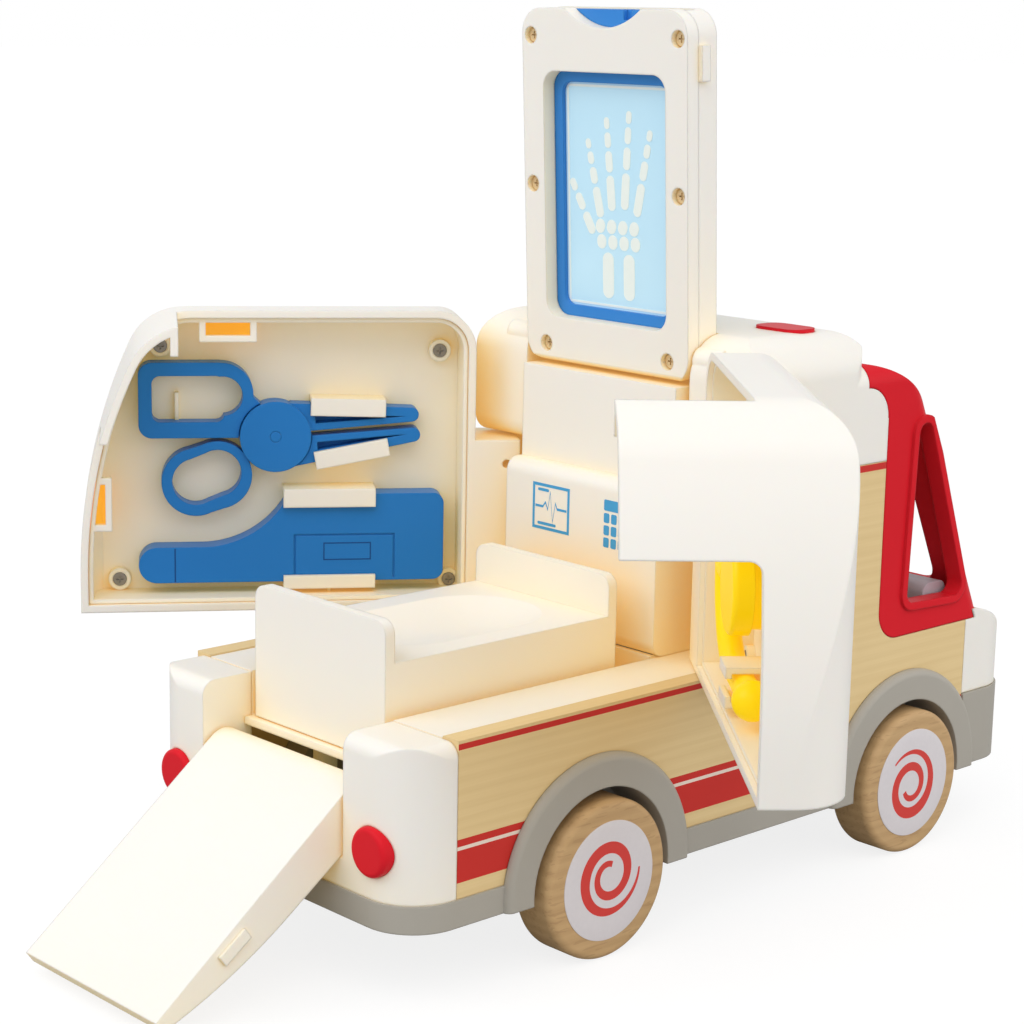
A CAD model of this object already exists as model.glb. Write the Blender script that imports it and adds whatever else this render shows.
"""Looks of a toy ambulance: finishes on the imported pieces, printed details, studio and camera.

Lengths in the classes are millimetres in the shared frame: X to the nose, Y to the left, Z up.
"""
from __future__ import annotations

import logging
import math
from dataclasses import dataclass, replace
from enum import Enum
from typing import Callable, Mapping, Sequence, Union

import bpy
from bpy.types import Material, Node, NodeSocket, Object
from mathutils import Matrix, Vector


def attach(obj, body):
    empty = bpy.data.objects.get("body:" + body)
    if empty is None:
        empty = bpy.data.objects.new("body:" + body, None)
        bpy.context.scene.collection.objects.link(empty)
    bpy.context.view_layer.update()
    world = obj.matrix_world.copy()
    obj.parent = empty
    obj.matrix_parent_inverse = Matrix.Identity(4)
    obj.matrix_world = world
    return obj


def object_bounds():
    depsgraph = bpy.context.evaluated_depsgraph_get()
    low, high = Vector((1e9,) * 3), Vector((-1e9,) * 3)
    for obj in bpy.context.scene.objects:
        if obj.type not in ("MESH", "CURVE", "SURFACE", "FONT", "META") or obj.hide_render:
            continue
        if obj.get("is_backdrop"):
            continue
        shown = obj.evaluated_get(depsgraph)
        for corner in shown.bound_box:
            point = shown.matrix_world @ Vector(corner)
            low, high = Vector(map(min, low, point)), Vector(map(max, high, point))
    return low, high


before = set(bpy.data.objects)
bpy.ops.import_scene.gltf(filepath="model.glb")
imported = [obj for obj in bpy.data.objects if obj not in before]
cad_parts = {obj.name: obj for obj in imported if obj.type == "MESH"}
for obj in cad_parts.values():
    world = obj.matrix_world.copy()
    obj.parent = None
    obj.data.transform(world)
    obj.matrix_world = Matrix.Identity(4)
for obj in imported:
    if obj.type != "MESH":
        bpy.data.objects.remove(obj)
CAD_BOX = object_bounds()

MM = 0.001
# How far the doors are open at rest, in degrees.
LEFT_OPEN = 34.3
RIGHT_OPEN = 49.8
LOG = logging.getLogger("toy_ambulance")
Colour = tuple[float, float, float]
Point = tuple[float, float, float]
Flat = tuple[float, float]
Area = tuple[float, float, float, float]
Number = Union["Value", float, int]
Sockets = dict[Union[str, int], object]


class Side(Enum):
    """The two sides of the vehicle, as the sign of Y."""

    LEFT = 1
    RIGHT = -1


class Pick(Enum):
    """Kinds of mesh element, as the mesh lists them."""

    VERT = "vertices"
    EDGE = "edges"
    FACE = "polygons"


@dataclass(frozen=True)
class Value:
    """A number socket whose operators add Math nodes."""

    graph: "Graph"
    socket: NodeSocket

    def __add__(self, other: Number) -> "Value":
        """Sum."""
        return self.graph.math("ADD", self, other)

    __radd__ = __add__

    def __sub__(self, other: Number) -> "Value":
        """Difference."""
        return self.graph.math("SUBTRACT", self, other)

    def __rsub__(self, other: Number) -> "Value":
        """Difference from a number."""
        return self.graph.math("SUBTRACT", other, self)

    def __mul__(self, other: Number) -> "Value":
        """Product."""
        return self.graph.math("MULTIPLY", self, other)

    __rmul__ = __mul__

    def __truediv__(self, other: Number) -> "Value":
        """Quotient."""
        return self.graph.math("DIVIDE", self, other)

    def __gt__(self, other: Number) -> "Value":
        """1 where this is greater."""
        return self.graph.math("GREATER_THAN", self, other)

    def __lt__(self, other: Number) -> "Value":
        """1 where this is less."""
        return self.graph.math("LESS_THAN", self, other)

    def __abs__(self) -> "Value":
        """Size without sign."""
        return self.graph.math("ABSOLUTE", self)

    def __round__(self) -> "Value":
        """Nearest whole number."""
        return self.graph.math("ROUND", self)

    def between(self, low: float, high: float) -> "Value":
        """1 between two limits.

        Args:
            low: Lower limit.
            high: Upper limit.

        Returns:
            The mask.
        """
        return (self > low) * (self < high)


class Graph:
    """Node tree of one material or of the world."""

    def __init__(self, name: str, world: bool = False) -> None:
        """Start an empty tree.

        Args:
            name: Name of the material or world.
            world: True for a world.
        """
        self.owner = (bpy.data.worlds if world else bpy.data.materials).new(name)
        self.owner.use_nodes = True
        self.tree = self.owner.node_tree
        self.tree.nodes.clear()

    def node(self, kind: str, settings: Mapping[str, object] | None = None,
             sockets: Sockets | None = None) -> Node:
        """Add a node, set it up and feed its sockets.

        Args:
            kind: Node type without the ShaderNode prefix.
            settings: Properties set before the sockets.
            sockets: Values or links by socket name or index.

        Returns:
            The node.
        """
        made = self.tree.nodes.new("ShaderNode" + kind)
        for key, value in (settings or {}).items():
            setattr(made, key, value)
        for key, value in (sockets or {}).items():
            target = made.inputs[key]
            source = value.socket if isinstance(value, Value) else value
            if isinstance(source, NodeSocket):
                self.tree.links.new(source, target)
            else:
                target.default_value = source
        return made

    def math(self, operation: str, first: Number, second: Number = 0.0) -> Value:
        """Number from one or two numbers.

        Args:
            operation: Math node operation.
            first: First number.
            second: Second number, where the operation has one.

        Returns:
            The result.
        """
        made = self.node("Math", {"operation": operation}, {0: first, 1: second})
        return Value(self, made.outputs[0])

    def mix(self, factor: Number, low: object, high: object) -> NodeSocket:
        """Colour between two colours.

        Args:
            factor: 0 for low, 1 for high.
            low: Colour or colour socket.
            high: Colour or colour socket.

        Returns:
            The mixed colour's socket.
        """
        ends = [(*c, 1.0) if isinstance(c, tuple) else c for c in (low, high)]
        made = self.node("Mix", {"data_type": "RGBA"}, {0: factor, 6: ends[0], 7: ends[1]})
        return made.outputs[2]

    def place(self, centre: Point = (0, 0, 0), scale: Point = (1, 1, 1)) -> NodeSocket:
        """Object coordinates about a centre.

        Args:
            centre: New origin, in millimetres.
            scale: Factor on each axis.

        Returns:
            The vector socket.
        """
        coords = self.node("TexCoord").outputs["Object"]
        origin = [c * MM for c in centre]
        about = self.node("VectorMath", {"operation": "SUBTRACT"}, {0: coords, 1: origin})
        sockets: Sockets = {0: about.outputs[0], 1: scale}
        return self.node("VectorMath", {"operation": "MULTIPLY"}, sockets).outputs[0]

    def axes(self, vector: NodeSocket) -> tuple[Value, Value, Value]:
        """The three numbers of a vector.

        Args:
            vector: Vector socket.

        Returns:
            Its x, y and z.
        """
        made = self.node("SeparateXYZ", {}, {0: vector})
        x, y, z = (Value(self, out) for out in made.outputs)
        return x, y, z

    def noise(self, vector: NodeSocket, scale: float, detail: float = 3.0) -> Value:
        """Noise of a scale per metre.

        Args:
            vector: Coordinates.
            scale: Scale per metre.
            detail: Octaves.

        Returns:
            The noise, from 0 to 1.
        """
        made = self.node("TexNoise", {}, {"Vector": vector, "Scale": scale, "Detail": detail})
        return Value(self, made.outputs[0])

    def soft_normal(self, radius: float) -> NodeSocket:
        """Normal that rounds moulded edges.

        Args:
            radius: Radius in millimetres.

        Returns:
            The normal socket.
        """
        return self.node("Bevel", {"samples": 6}, {"Radius": radius * MM}).outputs[0]

    def shelter(self, reach: float) -> Value:
        """How far a point is shut in by walls.

        Args:
            reach: Distance looked at, in millimetres.

        Returns:
            0 in the open to 1 when shut in.
        """
        made = self.node("AmbientOcclusion", {"samples": 6}, {"Distance": reach * MM})
        return 1.0 - Value(self, made.outputs["AO"])

    def bump(self, height: Value, strength: float, depth: float,
             normal: NodeSocket | None = None) -> NodeSocket:
        """Normal with surface relief.

        Args:
            height: Relief from 0 to 1.
            strength: Share of the relief.
            depth: Full relief in millimetres.
            normal: Normal to start from.

        Returns:
            The normal socket.
        """
        sockets: Sockets = {"Height": height, "Strength": strength, "Distance": depth * MM}
        if normal is not None:
            sockets["Normal"] = normal
        return self.node("Bump", {}, sockets).outputs[0]

    def close(self, sockets: Sockets) -> Material:
        """End with a principled surface.

        Args:
            sockets: Inputs of the surface.

        Returns:
            The finished material.
        """
        surface = self.node("BsdfPrincipled", {}, sockets)
        self.node("OutputMaterial", {}, {"Surface": surface.outputs[0]})
        return self.owner


@dataclass(frozen=True)
class SlotGlow:
    """Places on a door where light comes through the thin wall behind a catch."""

    side: Side
    open_angle: float
    hinge_y: float
    tint: Colour = (1.0, 0.50, 0.04)
    boxes: tuple[tuple[Point, Point], ...] = (
        ((-118.2, 46.0, 160.2), (-97.6, 70.0, 175.0)),
        ((-165.0, 46.0, 90.5), (-151.8, 70.0, 109.0)),
    )

    def mask(self, g: Graph) -> Value:
        """Find the places on the opened door.

        Args:
            g: Node tree of the door's finish.

        Returns:
            1 inside the boxes, which are drawn on the closed left door.
        """
        x, y, z = g.axes(g.place((0, self.side.value * self.hinge_y, 0), (1 / MM, 1 / MM, 1 / MM)))
        turn = math.radians(self.side.value * self.open_angle)
        along = x * math.cos(turn) - y * math.sin(turn)
        across = (x * math.sin(turn) + y * math.cos(turn)) * self.side.value + self.hinge_y
        masks = [along.between(low[0], high[0]) * across.between(low[1], high[1])
                 * z.between(low[2], high[2]) for low, high in self.boxes]
        return sum(masks[1:], masks[0])


@dataclass(frozen=True)
class MouldedPlastic:
    """Satin moulded plastic with a fine spark-eroded skin and softened edges.

    A thin pale moulding lets light through: its hollows take a warmer tint and glow a little.
    """

    name: str
    colour: Colour
    shade: Colour
    roughness: float = 0.38
    edge: float = 0.9
    gloss: float = 0.42
    glow: float = 0.0
    cloud_scale: float = 14.0
    skin_scale: float = 1900.0
    rub_scale: float = 160.0
    hollow_tint: Colour | None = None
    hollow_light: Colour = (0.25, 0.235, 0.11)
    hollow_strength: float = 0.3
    hollow_reach: float = 60.0
    hollow_share: float = 0.95
    hollow_limit: float = 0.85
    slot_tint: Colour = (1.0, 0.64, 0.16)
    slots: SlotGlow | None = None
    through: Colour | None = None
    through_strength: float = 0.22

    def build(self) -> Material:
        """Make the material.

        Returns:
            The material.
        """
        g = Graph(self.name)
        coords = g.place()
        cloud = g.noise(coords, self.cloud_scale)
        skin = g.noise(coords, self.skin_scale, 2.0)
        rub = g.noise(coords, self.rub_scale, 5.0)
        base = g.mix(cloud, self.shade, self.colour)
        glows: Sockets = {}
        if self.hollow_tint:
            depth = g.shelter(self.hollow_reach)
            share = g.math("MINIMUM", depth * self.hollow_share, self.hollow_limit)
            base = g.mix(share, base, self.hollow_tint)
            # Only the deepest quarter takes the slot tint.
            base = g.mix(depth * 4.0 - 3.0, base, self.slot_tint)
            light = g.mix(depth, (0.0, 0.0, 0.0), self.hollow_light)
            if self.slots:
                mask = self.slots.mask(g)
                base = g.mix(mask, base, self.slots.tint)
                light = g.mix(mask, light, self.slots.tint)
            glows = {"Emission Color": light, "Emission Strength": self.hollow_strength}
        if self.through:
            glows = {"Emission Color": (*self.through, 1.0),
                     "Emission Strength": self.through_strength}
        normal = g.bump(skin, 0.10, 0.05, g.soft_normal(self.edge))
        sockets: Sockets = {
            "Base Color": base,
            "Roughness": self.roughness - 0.05 + cloud * 0.06 + rub * 0.06,
            "Normal": normal,
            "Specular IOR Level": self.gloss,
            **glows,
        }
        if self.glow:
            sockets |= {
                "Subsurface Weight": self.glow,
                "Subsurface Radius": (1.0, 0.55, 0.25),
                "Subsurface Scale": 3.0 * MM,
            }
        return g.close(sockets)


@dataclass(frozen=True)
class PanelWood:
    """Light lacquered wood with grain along X and printed stripes on the outer face."""

    name: str = "panel_wood"
    early: Colour = (0.86, 0.67, 0.365)
    late: Colour = (0.69, 0.49, 0.225)
    ink: Colour = (0.60, 0.031, 0.024)
    gap_ink: Colour = (0.85, 0.72, 0.62)
    face_y: float = 68.9
    bands: tuple[Flat, ...] = ((14.5, 25.2), (26.4, 28.8), (123.3, 125.8))
    sill_band: Flat = (58.0, 60.0)
    gap_band: Flat = (25.2, 26.4)
    ring_share: float = 0.16
    sway_share: float = 0.55
    fibre_share: float = 0.36

    def build(self) -> Material:
        """Make the material.

        Returns:
            The material.
        """
        g = Graph(self.name)
        coords = g.place()
        x, y, z = g.axes(coords)
        sway = g.noise(g.place(scale=(0.35, 0.35, 1.0)), 28.0)
        rings = g.node("TexWave", {"bands_direction": "Z"}, {
            "Vector": g.place(scale=(0.05, 0.3, 1.0)), "Scale": 75.0, "Distortion": 6.0,
            "Detail": 3.0, "Detail Scale": 1.4})
        fibre = g.noise(g.place(scale=(0.02, 1.0, 1.0)), 1500.0, 4.0)
        ring = Value(g, rings.outputs[1])
        grain = ring * self.ring_share + sway * self.sway_share + fibre * self.fibre_share
        wood = g.mix(grain - 0.05, self.early, self.late)
        outer = abs(y) > self.face_y * MM
        sill = z.between(self.sill_band[0] * MM, self.sill_band[1] * MM) * (x < 0.0)
        red = sum((z.between(low * MM, high * MM) for low, high in self.bands), sill) * outer
        pale = z.between(self.gap_band[0] * MM, self.gap_band[1] * MM) * outer
        colour = g.mix(red, g.mix(pale, wood, self.gap_ink), self.ink)
        return g.close({
            "Base Color": colour,
            "Roughness": 0.40 + fibre * 0.12 - red * 0.06,
            "Normal": g.bump(fibre, 0.18, 0.08, g.soft_normal(0.7)),
            "Specular IOR Level": 0.18,
        })


@dataclass(frozen=True)
class WheelWood:
    """Beech with short flecks along the grain and end grain on the tread."""

    name: str = "wheel_wood"
    early: Colour = (0.61, 0.40, 0.195)
    late: Colour = (0.47, 0.29, 0.13)
    fleck: Colour = (0.38, 0.22, 0.095)
    fleck_level: float = 0.63
    fleck_share: float = 0.35

    def build(self) -> Material:
        """Make the material.

        Returns:
            The material.
        """
        g = Graph(self.name)
        growth = g.node("TexWave", {"bands_direction": "Z"}, {
            "Vector": g.place(scale=(0.1, 0.8, 1.0)), "Scale": 70.0, "Distortion": 4.0,
            "Detail": 3.0})
        fibre = g.noise(g.place(scale=(0.06, 1.0, 1.0)), 1300.0, 4.0)
        dash = g.noise(g.place(scale=(0.12, 0.6, 1.0)), 900.0, 1.0)
        fine = g.noise(g.place(), 2400.0, 2.0)
        tone = Value(g, growth.outputs[1]) * 0.35 + fibre * 0.5
        wood = g.mix(tone, self.early, self.late)
        colour = g.mix((dash > self.fleck_level) * self.fleck_share, wood, self.fleck)
        return g.close({
            "Base Color": colour,
            "Roughness": 0.48 + fibre * 0.15,
            "Normal": g.bump(fibre * 0.7 + fine * 0.3, 0.25, 0.12, g.soft_normal(0.6)),
            "Specular IOR Level": 0.35,
        })


@dataclass(frozen=True)
class RoundelPrint:
    """White printed disc with a plain red spiral that swells from its tail and thins inwards."""

    name: str
    centre: Point
    tail: float
    paper: Colour = (0.74, 0.70, 0.72)
    ink: Colour = (0.67, 0.050, 0.040)
    tail_r: float = 14.0
    pitch: float = 5.6
    turns: float = 1.8
    lift: float = 1.7
    tip: float = 0.4
    swell: float = 3.6
    thick: float = 2.75
    thin: float = 0.95
    paper_shade: float = 0.94

    def build(self) -> Material:
        """Make the material.

        Returns:
            The material.
        """
        g = Graph(self.name)
        across, _, up = g.axes(g.place(self.centre))
        cos, sin = (f(math.radians(self.tail)) / MM for f in (math.cos, math.sin))
        x = across * cos + up * sin
        y = up * cos - across * sin - self.lift
        radius = g.math("SQRT", x * x + y * y)
        around = g.math("ARCTAN2", y, x) / (-2 * math.pi)
        along = around + round((self.tail_r - radius) / self.pitch - around)
        off_line = abs(radius - (self.tail_r - along * self.pitch))
        # The line grows from its tip and thins along its turns.
        half_line = g.math("MINIMUM", along * self.swell + self.tip, self.thick - along * self.thin)
        spiral = (off_line < half_line) * along.between(0.0, self.turns)
        fibre = g.noise(g.place(), 700.0, 3.0)
        paper = g.mix(fibre, self.paper, tuple(self.paper_shade * c for c in self.paper))
        return g.close({
            "Base Color": g.mix(spiral, paper, self.ink),
            "Roughness": 0.42 + fibre * 0.1,
            "Normal": g.bump(fibre, 0.08, 0.05),
            "Specular IOR Level": 0.3,
        })


@dataclass(frozen=True)
class PrintInk:
    """Pad-printed ink with a slight mottle."""

    name: str
    colour: Colour
    shade: Colour

    def build(self) -> Material:
        """Make the material.

        Returns:
            The material.
        """
        g = Graph(self.name)
        mottle = g.noise(g.place(), 420.0, 4.0)
        return g.close({
            "Base Color": g.mix(mottle, self.shade, self.colour),
            "Roughness": 0.40 + mottle * 0.12,
            "Normal": g.bump(mottle, 0.06, 0.03),
        })


@dataclass(frozen=True)
class ClearFilm:
    """Pale blue film that lets some light through."""

    name: str = "clear_film"
    colour: Colour = (0.58, 0.83, 0.96)
    shade: Colour = (0.53, 0.79, 0.94)
    light: Colour = (0.45, 0.75, 0.95)
    strength: float = 0.12

    def build(self) -> Material:
        """Make the material.

        Returns:
            The material.
        """
        g = Graph(self.name)
        cloud = g.noise(g.place(), 30.0)
        scuff = g.noise(g.place(scale=(1.0, 0.2, 1.0)), 900.0, 4.0)
        return g.close({
            "Base Color": g.mix(cloud, self.shade, self.colour),
            "Roughness": 0.16 + scuff * 0.12,
            "Alpha": 0.86 + cloud * 0.06,
            "Normal": g.bump(scuff, 0.03, 0.03),
            "Coat Weight": 0.4,
            "Coat Roughness": 0.08,
            "Emission Color": (*self.light, 1.0),
            "Emission Strength": self.strength,
        })


@dataclass(frozen=True)
class PlatedSteel:
    """Plated steel with fine turning marks."""

    name: str = "plated_steel"
    colour: Colour = (0.40, 0.37, 0.32)
    shade: Colour = (0.24, 0.215, 0.18)
    metal: float = 1.0

    def build(self) -> Material:
        """Make the material.

        Returns:
            The material.
        """
        g = Graph(self.name)
        mark = g.noise(g.place(scale=(1.0, 0.3, 1.0)), 2600.0, 4.0)
        return g.close({
            "Base Color": g.mix(mark, self.shade, self.colour),
            "Metallic": self.metal,
            "Roughness": 0.28 + mark * 0.2,
            "Normal": g.bump(mark, 0.12, 0.04, g.soft_normal(0.2)),
        })


class Finishes:
    """The finishes of the vehicle, each built once."""

    def __init__(self) -> None:
        """Build every material."""
        self.cream_recipe = MouldedPlastic(
            "cream_plastic", (0.905, 0.875, 0.825), (0.885, 0.85, 0.79), 0.36, 1.0,
            glow=0.10, hollow_tint=(1.0, 0.83, 0.53))
        self.cream = self.cream_recipe.build()
        self.red = MouldedPlastic(
            "red_plastic", (0.72, 0.016, 0.028), (0.66, 0.013, 0.022), 0.30, 1.2, 0.06).build()
        self.grey = MouldedPlastic(
            "grey_plastic", (0.435, 0.408, 0.358), (0.38, 0.355, 0.306), 0.42, 0.8, 0.3).build()
        self.lilac = MouldedPlastic(
            "lilac_plastic", (0.52, 0.48, 0.52), (0.46, 0.42, 0.46), 0.42, 0.8).build()
        self.blue = MouldedPlastic(
            "blue_plastic", (0.020, 0.205, 0.600), (0.016, 0.178, 0.530), 0.34, 0.8, 0.2).build()
        self.tray_blue = MouldedPlastic(
            "tray_blue_plastic", (0.04, 0.25, 0.70), (0.032, 0.22, 0.63), 0.34, 0.8, 0.25).build()
        self.blue_line = MouldedPlastic(
            "blue_groove", (0.010, 0.080, 0.290), (0.008, 0.065, 0.240), 0.5, 0.2, 0.2).build()
        self.yellow = MouldedPlastic(
            "yellow_plastic", (1.0, 0.72, 0.004), (0.95, 0.66, 0.003), 0.32, 0.8, 0.2,
            glow=0.05, through=(1.0, 0.66, 0.0)).build()
        self.lamp = MouldedPlastic(
            "lamp_plastic", (0.90, 0.88, 0.83), (0.86, 0.84, 0.79), 0.2, 0.6).build()
        self.panel = PanelWood().build()
        self.wheel = WheelWood().build()
        self.film = ClearFilm().build()
        self.steel = PlatedSteel().build()
        self.brass = PlatedSteel(
            "brassed_steel", (0.84, 0.66, 0.40), (0.70, 0.52, 0.29), 0.35).build()
        self.sky_ink = PrintInk("sky_ink", (0.055, 0.37, 0.70), (0.045, 0.33, 0.65)).build()
        self.bone_ink = PrintInk("bone_ink", (0.90, 0.95, 0.90), (0.84, 0.93, 0.90)).build()


def moved(x: float, y: float, z: float) -> Matrix:
    """Shift along the axes.

    Args:
        x, y, z: Lengths in millimetres.

    Returns:
        The matrix.
    """
    return Matrix.Translation(Vector((x, y, z)) * MM)


class Bench:
    """Modelling steps by operators on one object at a time."""

    @staticmethod
    def clear() -> None:
        """Leave edit mode and deselect everything."""
        if bpy.context.mode != "OBJECT":
            bpy.ops.object.mode_set(mode="OBJECT")
        bpy.ops.object.select_all(action="DESELECT")

    @staticmethod
    def focus(obj: Object) -> None:
        """Select one object alone and make it active.

        Args:
            obj: The object.
        """
        Bench.clear()
        obj.select_set(True)
        bpy.context.view_layer.objects.active = obj

    @staticmethod
    def named(name: str) -> Object:
        """Name the object just added.

        Args:
            name: Its name.

        Returns:
            The object.
        """
        obj = bpy.context.object
        obj.name = name
        obj.data.name = name
        return obj

    @staticmethod
    def settle(obj: Object, matrix: Matrix | None = None) -> None:
        """Put the place of an object into its mesh.

        Args:
            obj: The object.
            matrix: A further placement.
        """
        Bench.focus(obj)
        if matrix is not None:
            obj.matrix_world = matrix @ obj.matrix_world
        bpy.ops.object.transform_apply(location=True, rotation=True, scale=True)

    @staticmethod
    def pick(obj: Object, kind: Pick, test: Callable[[object], bool]) -> None:
        """Enter edit mode with the elements that pass a test selected.

        Args:
            obj: The object.
            kind: Which elements.
            test: True for an element to select.
        """
        Bench.focus(obj)
        bpy.ops.object.mode_set(mode="EDIT")
        bpy.ops.mesh.select_mode(type=kind.name)
        bpy.ops.mesh.select_all(action="DESELECT")
        bpy.ops.object.mode_set(mode="OBJECT")
        for item in getattr(obj.data, kind.value):
            item.select = test(item)
        bpy.ops.object.mode_set(mode="EDIT")

    @staticmethod
    def thicken(obj: Object, depth: float) -> None:
        """Give a flat shape its thickness, half on each side.

        Args:
            obj: The object.
            depth: Thickness in millimetres.
        """
        Bench.focus(obj)
        wall = obj.modifiers.new("wall", "SOLIDIFY")
        wall.thickness = depth * MM
        wall.offset = 0.0
        bpy.ops.object.modifier_apply(modifier=wall.name)

    @staticmethod
    def smooth(obj: Object, angle: float = 35.0) -> None:
        """Shade smoothly below an angle.

        Args:
            obj: The object.
            angle: Angle in degrees.
        """
        Bench.focus(obj)
        bpy.ops.object.shade_smooth_by_angle(angle=math.radians(angle))

    @staticmethod
    def outward(obj: Object) -> None:
        """Turn all faces outward.

        Args:
            obj: The object.
        """
        Bench.pick(obj, Pick.FACE, lambda face: True)
        bpy.ops.mesh.normals_make_consistent(inside=False)
        Bench.clear()

    @staticmethod
    def frame_plate(name: str, width: float, height: float, line: float) -> Object:
        """Flat rectangular outline about the origin, in the XY plane.

        Args:
            name: Object name.
            width: Outer size along X.
            height: Outer size along Y.
            line: Width of the line.

        Returns:
            The object.
        """
        Bench.clear()
        bpy.ops.mesh.primitive_plane_add(size=1.0)
        obj = Bench.named(name)
        obj.scale = (width * MM, height * MM, 1.0)
        Bench.settle(obj)
        Bench.pick(obj, Pick.FACE, lambda face: True)
        bpy.ops.mesh.inset(thickness=line * MM)
        bpy.ops.mesh.delete(type="FACE")
        Bench.clear()
        return obj

    @staticmethod
    def plate(name: str, width: float, height: float, corner: float) -> Object:
        """Flat plate with rounded corners about the origin, in the XY plane.

        Args:
            name: Object name.
            width: Size along X.
            height: Size along Y.
            corner: Corner radius.

        Returns:
            The object.
        """
        Bench.clear()
        bpy.ops.mesh.primitive_plane_add(size=1.0)
        obj = Bench.named(name)
        obj.scale = (width * MM, height * MM, 1.0)
        Bench.settle(obj)
        Bench.pick(obj, Pick.FACE, lambda face: True)
        bpy.ops.mesh.bevel(affect="VERTICES", offset=corner * MM, segments=4)
        Bench.clear()
        return obj

    @staticmethod
    def pill(name: str, length: float, width: float) -> Object:
        """Flat plate with round ends about the origin, long along X.

        Args:
            name: Object name.
            length: Full length.
            width: Full width.

        Returns:
            The object.
        """
        Bench.clear()
        bpy.ops.mesh.primitive_circle_add(vertices=24, radius=width / 2 * MM, fill_type="NGON")
        obj = Bench.named(name)
        for shift in (1, -1):
            Bench.pick(obj, Pick.VERT, lambda point: point.co.x * shift > 1e-7)
            bpy.ops.transform.translate(value=(shift * (length - width) / 2 * MM, 0, 0))
        Bench.clear()
        return obj

    @staticmethod
    def join(name: str, parts: Sequence[Object]) -> Object:
        """Join objects into one.

        Args:
            name: Name of the result.
            parts: Objects to join.

        Returns:
            The joined object.
        """
        Bench.clear()
        for part in parts:
            part.select_set(True)
        bpy.context.view_layer.objects.active = parts[0]
        bpy.ops.object.join()
        return Bench.named(name)

    @staticmethod
    def copy(obj: Object, name: str) -> Object:
        """Copy an object with its own mesh.

        Args:
            obj: The object.
            name: Name of the copy.

        Returns:
            The copy.
        """
        made = obj.copy()
        made.data = obj.data.copy()
        made.name = name
        bpy.context.collection.objects.link(made)
        return made


def paint(obj: Object, material: Material) -> None:
    """Give an object one material.

    Args:
        obj: The object.
        material: Its material.
    """
    obj.data.materials.clear()
    obj.data.materials.append(material)


def finish_piece(obj: Object, material: Material, body: str) -> None:
    """Paint a new piece and hang it on its body.

    Args:
        obj: The piece.
        material: Its material.
        body: The CAD body it rides on.
    """
    Bench.smooth(obj)
    paint(obj, material)
    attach(obj, body)
    LOG.info("piece %s on %s", obj.name, body)


def dress(material: Material, *nodes: str) -> None:
    """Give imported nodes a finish.

    Args:
        material: The finish.
        nodes: Node names.
    """
    for name in nodes:
        paint(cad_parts[name], material)
        LOG.info("node %s in %s", name, material.name)


@dataclass
class Carriage:
    """Chassis with axles and wooden wheels."""

    finishes: Finishes
    axle_x: float = 80.6
    axle_z: float = 2.4
    face_y: float = 74.9
    roundel_r: float = 20.5
    roundel_t: float = 0.3
    sink: float = 0.05
    rim: float = 0.4
    dome: float = 0.08
    ring: float = 4.0

    def build(self) -> None:
        """Dress the nodes and add the printed discs."""
        dress(self.finishes.grey, "chassis")
        dress(self.finishes.steel, "chassis_screws", "front_axle", "rear_axle")
        for end, sign, tail in (("front", 1, 135.0), ("rear", -1, 0.0)):
            x = sign * self.axle_x
            ink = RoundelPrint(f"{end}_roundel_print", (x, 0, self.axle_z), tail).build()
            for side in Side:
                corner = f"{end}_{side.name.lower()}"
                dress(self.finishes.wheel, f"{corner}_wheel")
                self.roundel(f"{corner}_roundel", x, side, ink, f"{end}_wheels")

    def roundel(self, name: str, x: float, side: Side, ink: Material, body: str) -> None:
        """Add one printed disc on a wheel's face.

        Args:
            name: Piece name.
            x: Axle position.
            side: Side of the vehicle.
            ink: Print material.
            body: Body that carries the wheel.
        """
        Bench.clear()
        y = side.value * (self.face_y + self.roundel_t / 2 - self.sink)
        bpy.ops.mesh.primitive_cylinder_add(
            vertices=96, radius=self.roundel_r * MM, depth=self.roundel_t * MM,
            location=(x * MM, y * MM, self.axle_z * MM), rotation=(math.radians(90), 0, 0))
        obj = Bench.named(name)
        Bench.settle(obj)
        Bench.pick(obj, Pick.FACE, lambda face: face.normal.y * side.value > 0.9)
        bpy.ops.mesh.inset(thickness=self.rim * MM)
        bpy.ops.transform.translate(value=(0, side.value * self.dome * MM, 0))
        bpy.ops.mesh.inset(thickness=self.ring * MM)
        Bench.clear()
        finish_piece(obj, ink, body)


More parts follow.
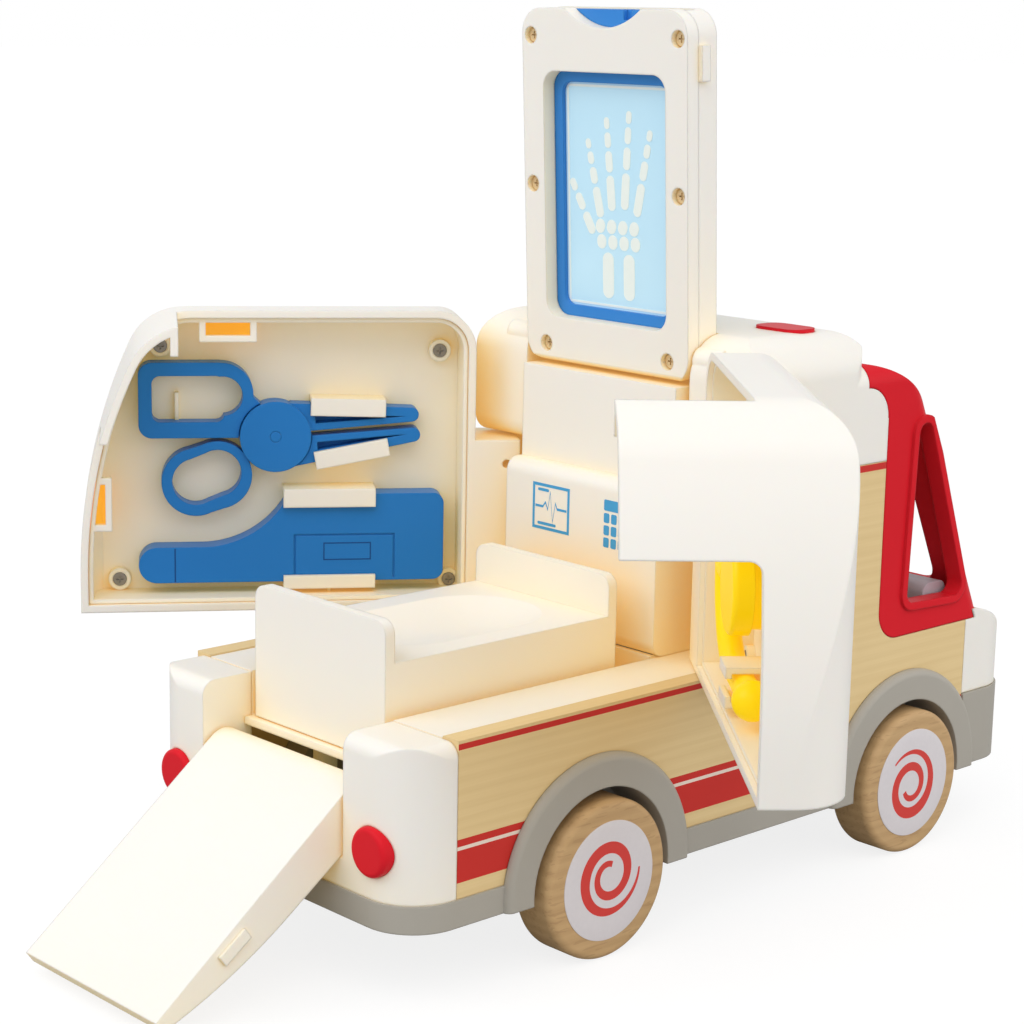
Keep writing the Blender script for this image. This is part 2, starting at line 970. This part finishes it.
@dataclass
class Cabin:
    """Body shell, cab and treatment room."""

    finishes: Finishes
    console_x: float = -24.5
    screen: Area = (5.0, 24.2, 97.4, 114.5)
    keypad: Area = (-22.6, -12.6, 96.4, 113.7)
    ink_t: float = 0.16
    line: float = 1.1
    trace_line: float = 0.9
    trace_margin: float = 3.0
    trace: tuple[Flat, ...] = (
        (-0.5, 0.0), (-0.26, 0.0), (-0.18, 0.1), (-0.1, -0.05), (-0.03, 0.34), (0.06, -0.3),
        (0.14, 0.12), (0.2, 0.0), (0.5, 0.0))
    bars: tuple[Flat, ...] = ((0.5, -6.3), (0.3, 6.2))
    bar_start: float = 0.36
    display_h: float = 4.0
    key_gap: float = 0.9
    key_corner: float = 0.6
    key_rows: int = 3

    def build(self) -> None:
        """Dress the nodes and add the console's prints."""
        f = self.finishes
        dress(f.cream, "rear_corner_posts", "interior_tub", "roof_cap", "bulkhead", "nose_cover")
        dress(f.panel, "left_side_panel", "right_side_panel")
        dress(f.red, "cab_frame", "roof_beacons", "tail_lamps")
        dress(f.lilac, "cab_tray")
        dress(f.lamp, "head_lamps")
        dress(f.steel, "left_door_pin", "right_door_pin", "hatch_pin", "ramp_pin")
        self.screen_print()
        self.keypad_print()

    def on_console(self, name: str, parts: Sequence[Object], area: Area) -> None:
        """Join a flat print, drawn about the origin in XY, and put it on the console's face.

        Args:
            name: Piece name.
            parts: Its parts, with X to the right side of the vehicle and Y up.
            area: Right, left, lower and upper edge on the console.
        """
        right, left, low, high = area
        obj = Bench.join(name, parts)
        Bench.thicken(obj, self.ink_t)
        turn = Matrix(((0, 0, -1, 0), (-1, 0, 0, 0), (0, 1, 0, 0), (0, 0, 0, 1)))
        Bench.settle(obj, moved(self.console_x, (left + right) / 2, (low + high) / 2) @ turn)
        finish_piece(obj, self.finishes.sky_ink, "body")

    def screen_print(self) -> None:
        """Add a framed monitor with a pulse trace."""
        right, left, low, high = self.screen
        width, height = left - right, high - low
        path = [(x * (width - self.trace_margin), y * height) for x, y in self.trace]
        parts = [Bench.frame_plate("screen_outline", width, height, self.line),
                 self.ribbon("screen_trace", path, self.trace_line)]
        for index, (share, y) in enumerate(self.bars):
            bar = Bench.pill(f"screen_bar_{index}", share * width, self.line)
            Bench.settle(bar, moved((share / 2 - self.bar_start) * width, y, 0))
            parts.append(bar)
        self.on_console("console_screen_print", parts, self.screen)

    @staticmethod
    def ribbon(name: str, path: Sequence[Flat], width: float) -> Object:
        """Flat line along a path in the XY plane.

        Args:
            name: Object name.
            path: Points in millimetres.
            width: Height of the line's cross edge.

        Returns:
            The object.
        """
        Bench.clear()
        bpy.ops.mesh.primitive_plane_add(size=1.0)
        obj = Bench.named(name)
        (x0, y0), (x1, y1) = path[:2]
        obj.scale = ((x1 - x0) * MM, width * MM, 1.0)
        obj.location = ((x0 + x1) / 2 * MM, (y0 + y1) / 2 * MM, 0)
        Bench.settle(obj)
        end_x = (x1 - 0.01) * MM
        Bench.pick(obj, Pick.EDGE,
                   lambda edge: all(obj.data.vertices[i].co.x > end_x for i in edge.vertices))
        for (ax, ay), (bx, by) in zip(path[1:], path[2:]):
            step = ((bx - ax) * MM, (by - ay) * MM, 0)
            bpy.ops.mesh.extrude_edges_move(TRANSFORM_OT_translate={"value": step})
        Bench.clear()
        return obj

    def keypad_print(self) -> None:
        """Add a small display above rows of keys."""
        right, left, low, high = self.keypad
        width, height = left - right, high - low
        rows, gap, top = self.key_rows, self.key_gap, height / 2 - self.display_h
        key_w = (width - (rows - 1) * gap) / rows
        key_h = (height - self.display_h - rows * gap) / rows
        display = Bench.plate("keypad_display", width, self.display_h, self.key_corner)
        Bench.settle(display, moved(0, top + self.display_h / 2, 0))
        parts = [display]
        key = Bench.plate("keypad_key", key_w, key_h, self.key_corner)
        for row in range(rows):
            for column in range(rows):
                one = Bench.copy(key, f"keypad_key_{row}_{column}")
                x = (column - (rows - 1) / 2) * (key_w + gap)
                Bench.settle(one, moved(x, top - gap - key_h / 2 - row * (key_h + gap), 0))
                parts.append(one)
        bpy.data.objects.remove(key)
        self.on_console("console_keypad_print", parts, self.keypad)


@dataclass
class TrayDoor:
    """One swinging half-shell door with its liner, drawn closed on the left and then placed."""

    finishes: Finishes
    side: Side
    open_angle: float
    hinge_y: float = 62.5
    liner_y: float = 60.0
    rib_edge: float = 0.4
    ribs: tuple[tuple[str, Flat, Flat, float], ...] = (
        ("post", (-128.0, 131.0), (-126.4, 141.5), 3.0),
        ("web", (-71.5, 64.8), (-70.0, 67.9), 9.0),
    )

    @property
    def label(self) -> str:
        """Side in lower case."""
        return self.side.name.lower()

    def place(self) -> Matrix:
        """Placement from the closed left door to this door at rest.

        Returns:
            The matrix.
        """
        pivot = moved(0, self.side.value * self.hinge_y, 0)
        turn = Matrix.Rotation(math.radians(-self.side.value * self.open_angle), 4, "Z")
        flip = Matrix.Diagonal((1, self.side.value, 1, 1))
        return pivot @ turn @ pivot.inverted() @ flip

    def build(self) -> None:
        """Dress the nodes and add the liner's ribs."""
        glow = SlotGlow(self.side, self.open_angle, self.hinge_y)
        lining = replace(self.finishes.cream_recipe, name=f"{self.label}_liner_plastic", slots=glow)
        dress(self.finishes.cream, f"{self.label}_door_shell")
        dress(lining.build(), f"{self.label}_door_liner")
        dress(self.finishes.steel, f"{self.label}_door_screws")
        obj = Bench.join(f"{self.label}_liner_ribs", [self.rib(*sizes) for sizes in self.ribs])
        Bench.settle(obj, self.place())
        Bench.outward(obj)
        finish_piece(obj, self.finishes.cream, f"{self.label}_door")

    def rib(self, name: str, low: Flat, high: Flat, depth: float) -> Object:
        """Small upright rib on the liner.

        Args:
            name: Object name.
            low: Lower corner, x and z.
            high: Upper corner, x and z.
            depth: How far it stands out of the liner.

        Returns:
            The object.
        """
        Bench.clear()
        bpy.ops.mesh.primitive_cube_add(size=1.0)
        obj = Bench.named(name)
        obj.scale = Vector((high[0] - low[0], depth, high[1] - low[1])) * MM
        x, z = (low[0] + high[0]) / 2, (low[1] + high[1]) / 2
        obj.location = Vector((x, self.liner_y - depth / 2, z)) * MM
        Bench.settle(obj)
        face_y = (self.liner_y - depth + 0.01) * MM
        Bench.pick(obj, Pick.EDGE,
                   lambda edge: all(obj.data.vertices[i].co.y < face_y for i in edge.vertices))
        bpy.ops.mesh.bevel(offset=self.rib_edge * MM, segments=3)
        Bench.clear()
        return obj


@dataclass
class DoctorTools:
    """Blue tools on the left door and the yellow one on the right door."""

    finishes: Finishes
    left_door: TrayDoor
    face_y: float = 49.8
    line: float = 0.45
    line_t: float = 0.1
    line_limit: float = 0.45
    screen_box: tuple[Flat, Flat] = ((-73.0, 78.4), (-55.0, 85.2))
    tip_box: tuple[Flat, Flat] = ((-128.6, 70.7), (-128.1, 83.6))

    def build(self) -> None:
        """Dress the tools and add the thermometer's marked lines."""
        f = self.finishes
        dress(f.blue, "forceps_front_half", "forceps_rear_half", "forceps_pivot", "thermometer")
        dress(f.yellow, "stethoscope_yoke", "stethoscope_chestpiece")
        screen = self.outline("thermometer_screen_line", *self.screen_box)
        tip = self.outline("thermometer_tip_line", *self.tip_box)
        obj = Bench.join("thermometer_lines", [screen, tip])
        Bench.settle(obj, self.left_door.place())
        finish_piece(obj, f.blue_line, "left_door")

    def outline(self, name: str, low: Flat, high: Flat) -> Object:
        """Thin outline on the thermometer's face.

        Args:
            name: Object name.
            low: Lower corner, x and z.
            high: Upper corner, x and z.

        Returns:
            The object.
        """
        width, height = high[0] - low[0], high[1] - low[1]
        line = min(self.line, width * self.line_limit)
        obj = Bench.frame_plate(name, width, height, line)
        Bench.thicken(obj, self.line_t)
        upright = Matrix.Rotation(math.radians(90), 4, "X")
        centre = moved((low[0] + high[0]) / 2, self.face_y, (low[1] + high[1]) / 2)
        Bench.settle(obj, centre @ upright)
        return obj


@dataclass(frozen=True)
class Bone:
    """A printed bone: middle, turn in degrees and size of a pill."""

    x: float
    y: float
    angle: float
    length: float
    width: float


@dataclass(frozen=True)
class HandPrint:
    """Bones of a forearm and an open hand, towards the closed hatch's free end."""

    arm_x: float = -32.5
    arm_y: float = 5.2
    arm_size: Flat = (16.5, 5.6)
    wrist_x: Flat = (-44.5, -50.0)
    wrist_pitch: float = 5.6
    wrist_shift: float = 0.6
    wrist_turn: float = 20.0
    wrist_size: Flat = (5.2, 4.6)
    root_x: float = -54.5
    root_y: float = 9.0
    splay: float = 13.0
    fingers: tuple[tuple[float, float, tuple[float, ...]], ...] = (
        (-1.0, 0.0, (12.0, 7.0, 5.0, 4.0)), (-0.33, 2.0, (13.0, 8.0, 6.0, 4.5)),
        (0.33, 1.2, (12.5, 7.5, 5.5, 4.2)), (1.0, -1.5, (11.0, 6.0, 4.5, 3.6)))
    thumb_root: Flat = (-47.0, 12.5)
    thumb_angle: float = 30.0
    thumb: tuple[float, ...] = (8.5, 6.5, 4.8)
    finger_w: float = 3.9
    taper: float = 0.4
    joint: float = 1.1

    def bones(self) -> list[Bone]:
        """List the bones.

        Returns:
            Forearm, wrist, fingers and thumb.
        """
        made = [Bone(self.arm_x, y, 0.0, *self.arm_size) for y in (-self.arm_y, self.arm_y)]
        for row, x in enumerate(self.wrist_x):
            for place in (-1.5, -0.5, 0.5, 1.5):
                y = place * self.wrist_pitch + self.wrist_shift * row
                made.append(Bone(x, y, self.wrist_turn * row, *self.wrist_size))
        for spread, shift, lengths in self.fingers:
            root = (self.root_x, spread * self.root_y)
            made += self.finger(root, spread * self.splay, lengths, shift)
        return made + self.finger(self.thumb_root, self.thumb_angle, self.thumb, 0.0)

    def finger(self, root: Flat, angle: float, lengths: Sequence[float],
               shift: float) -> list[Bone]:
        """List the bones of one finger.

        Args:
            root: Start of the first bone.
            angle: Splay in degrees.
            lengths: Bone lengths.
            shift: Moves the start along the finger.

        Returns:
            The bones from root to tip.
        """
        made = []
        step = Vector((-math.cos(math.radians(angle)), math.sin(math.radians(angle))))
        at = Vector(root) + step * shift
        for index, length in enumerate(lengths):
            middle = at + step * (length / 2)
            width = self.finger_w - self.taper * index
            made.append(Bone(middle.x, middle.y, -angle, length, width))
            at = at + step * (length + self.joint)
        return made


@dataclass
class RoofHatch:
    """Roof hatch with the slide-in X-ray, drawn closed and then placed."""

    finishes: Finishes
    pin_x: float = -7.5
    pin_z: float = 165.5
    open_angle: float = 87.0
    film_z: float = 166.8
    print_t: float = 0.12
    border: tuple[float, float, float] = (78.5, 50.5, 0.9)
    border_x: float = -60.5

    def place(self) -> Matrix:
        """Placement from closed to rest.

        Returns:
            The matrix.
        """
        pivot = moved(self.pin_x, 0, self.pin_z)
        return pivot @ Matrix.Rotation(math.radians(self.open_angle), 4, "Y") @ pivot.inverted()

    def build(self) -> None:
        """Dress the nodes and print the film."""
        f = self.finishes
        dress(f.cream, "hatch_cover", "hatch_frame")
        dress(f.brass, "hatch_screws")
        dress(f.tray_blue, "xray_tray")
        dress(f.film, "xray_film")
        self.film_print()

    def film_print(self) -> None:
        """Print a border and a hand on the film."""
        z = self.film_z - self.print_t / 2
        border = Bench.frame_plate("film_border", *self.border)
        Bench.settle(border, moved(self.border_x, 0, z))
        parts = [border]
        for index, bone in enumerate(HandPrint().bones()):
            pill = Bench.pill(f"bone_{index}", bone.length, bone.width)
            turn = Matrix.Rotation(math.radians(bone.angle), 4, "Z")
            Bench.settle(pill, moved(bone.x, bone.y, z) @ turn)
            parts.append(pill)
        obj = Bench.join("xray_film_print", parts)
        Bench.thicken(obj, self.print_t)
        Bench.settle(obj, self.place())
        finish_piece(obj, self.finishes.bone_ink, "xray")


@dataclass
class LoadingGear:
    """Rear ramp and stretcher."""

    finishes: Finishes

    def build(self) -> None:
        """Dress the nodes."""
        dress(self.finishes.cream, "ramp_shell", "ramp_plate", "stretcher")


@dataclass
class Studio:
    """White floor, soft light and the camera."""

    floor_z: float = -25.0
    camera_at: Point = (-614.197, -595.659, 281.554)
    yaw: float = 46.936
    pitch: float = -11.804
    roll: float = 1.117
    lens: float = 83.773
    sensor: float = 36.0
    view_reach: float = 50000.0
    floor_size: float = 30000.0
    floor_pale: Colour = (0.20, 0.20, 0.20)
    floor_shade: Colour = (0.19, 0.19, 0.19)
    floor_bounce: Colour = (0.5, 0.5, 0.5)
    sweep_glow: float = 0.83
    world_colour: Colour = (0.97, 0.985, 1.0)
    world_light: float = 0.66
    sun_colour: Colour = (1.0, 0.985, 0.96)
    key_sun: float = 0.86
    key_spread: float = 50.0
    key_travel: Point = (0.45, 0.45, -0.85)
    side_sun: float = 1.0
    side_spread: float = 70.0
    side_travel: Point = (-0.45, 0.85, -0.2)
    box_power: float = 3.3
    box_size: float = 700.0
    box_at: Point = (-800.0, 300.0, 750.0)
    box_aim: Point = (0.0, 0.0, 200.0)

    def build(self) -> None:
        """Set the stage."""
        self.floor()
        self.light()
        self.camera()
        bpy.context.scene.view_settings.view_transform = "Standard"

    def floor(self) -> None:
        """Add a wide white floor that glows like a lit sweep, so shadows stay faint."""
        Bench.clear()
        bpy.ops.mesh.primitive_plane_add(size=self.floor_size * MM,
                                         location=(0, 0, self.floor_z * MM))
        obj = Bench.named("studio_floor")
        Bench.settle(obj)
        g = Graph("studio_floor")
        speck = g.noise(g.place(), 3.0)
        pale = g.mix(speck, self.floor_shade, self.floor_pale)
        sweep = g.node("Emission", {}, {"Strength": self.sweep_glow}).outputs[0]
        shadowed = g.node("BsdfDiffuse", {}, {"Color": pale}).outputs[0]
        seen = g.node("AddShader", {}, {0: sweep, 1: shadowed}).outputs[0]
        bounce = g.node("BsdfDiffuse", {}, {"Color": (*self.floor_bounce, 1.0)}).outputs[0]
        by_eye = g.node("LightPath").outputs["Is Camera Ray"]
        mixed = g.node("MixShader", {}, {0: by_eye, 1: bounce, 2: seen}).outputs[0]
        g.node("OutputMaterial", {}, {"Surface": mixed})
        paint(obj, g.owner)
        obj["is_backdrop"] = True

    def light(self) -> None:
        """Add even light from all round, a soft key, a side fill and a box behind the vehicle."""
        g = Graph("studio", world=True)
        seen = g.node("Background", {}, {0: (1.0, 1.0, 1.0, 1.0)}).outputs[0]
        sky: Sockets = {0: (*self.world_colour, 1.0), 1: self.world_light}
        lit = g.node("Background", {}, sky).outputs[0]
        by_eye = g.node("LightPath").outputs["Is Camera Ray"]
        mixed = g.node("MixShader", {}, {0: by_eye, 1: lit, 2: seen}).outputs[0]
        g.node("OutputWorld", {}, {"Surface": mixed})
        bpy.context.scene.world = g.owner
        self.sun("key", self.key_sun, self.key_spread, self.key_travel)
        self.sun("side_fill", self.side_sun, self.side_spread, self.side_travel)
        panel = bpy.data.lights.new("rear_box", "AREA")
        panel.energy = self.box_power
        panel.size = self.box_size * MM
        box = bpy.data.objects.new("rear_box", panel)
        box.location = Vector(self.box_at) * MM
        aim = Vector(self.box_aim) - Vector(self.box_at)
        box.rotation_euler = aim.to_track_quat("-Z", "Y").to_euler()
        bpy.context.collection.objects.link(box)

    def sun(self, name: str, energy: float, spread: float, travel: Point) -> None:
        """Add a wide soft light from far away.

        Args:
            name: Lamp name.
            energy: Strength.
            spread: Angle it fills in degrees.
            travel: Way the light goes.
        """
        sun = bpy.data.lights.new(name, "SUN")
        sun.energy = energy
        sun.angle = math.radians(spread)
        sun.color = self.sun_colour
        lamp = bpy.data.objects.new(name, sun)
        lamp.rotation_euler = Vector(travel).to_track_quat("-Z", "Y").to_euler()
        bpy.context.collection.objects.link(lamp)

    def camera(self) -> None:
        """Set the camera at the photograph's viewpoint."""
        yaw, pitch, roll = (math.radians(a) for a in (self.yaw, self.pitch, self.roll))
        flat = math.cos(pitch)
        ahead = Vector((flat * math.cos(yaw), flat * math.sin(yaw), math.sin(pitch)))
        level = ahead.cross(Vector((0, 0, 1))).normalized()
        rise = level.cross(ahead)
        right = math.cos(roll) * level + math.sin(roll) * rise
        up = -math.sin(roll) * level + math.cos(roll) * rise
        data = bpy.data.cameras.new("camera")
        data.lens = self.lens
        data.sensor_width = self.sensor
        data.clip_end = self.view_reach * MM
        obj = bpy.data.objects.new("camera", data)
        turn = Matrix((right, up, -ahead)).transposed().to_4x4()
        obj.matrix_world = moved(*self.camera_at) @ turn
        bpy.context.collection.objects.link(obj)
        bpy.context.scene.camera = obj


def main() -> None:
    """Build the sub-assemblies, the studio and the size note."""
    logging.basicConfig(level=logging.INFO, format="%(message)s")
    finishes = Finishes()
    left_door = TrayDoor(finishes, Side.LEFT, LEFT_OPEN)
    right_door = TrayDoor(finishes, Side.RIGHT, RIGHT_OPEN)
    for part in (Carriage(finishes), Cabin(finishes), left_door, right_door,
                 DoctorTools(finishes, left_door), RoofHatch(finishes), LoadingGear(finishes),
                 Studio()):
        part.build()
    boxes = {"cad": CAD_BOX, "visual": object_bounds()}
    {name: [list(corner) for corner in box] for name, box in boxes.items()}


if __name__ == "__main__":
    main()
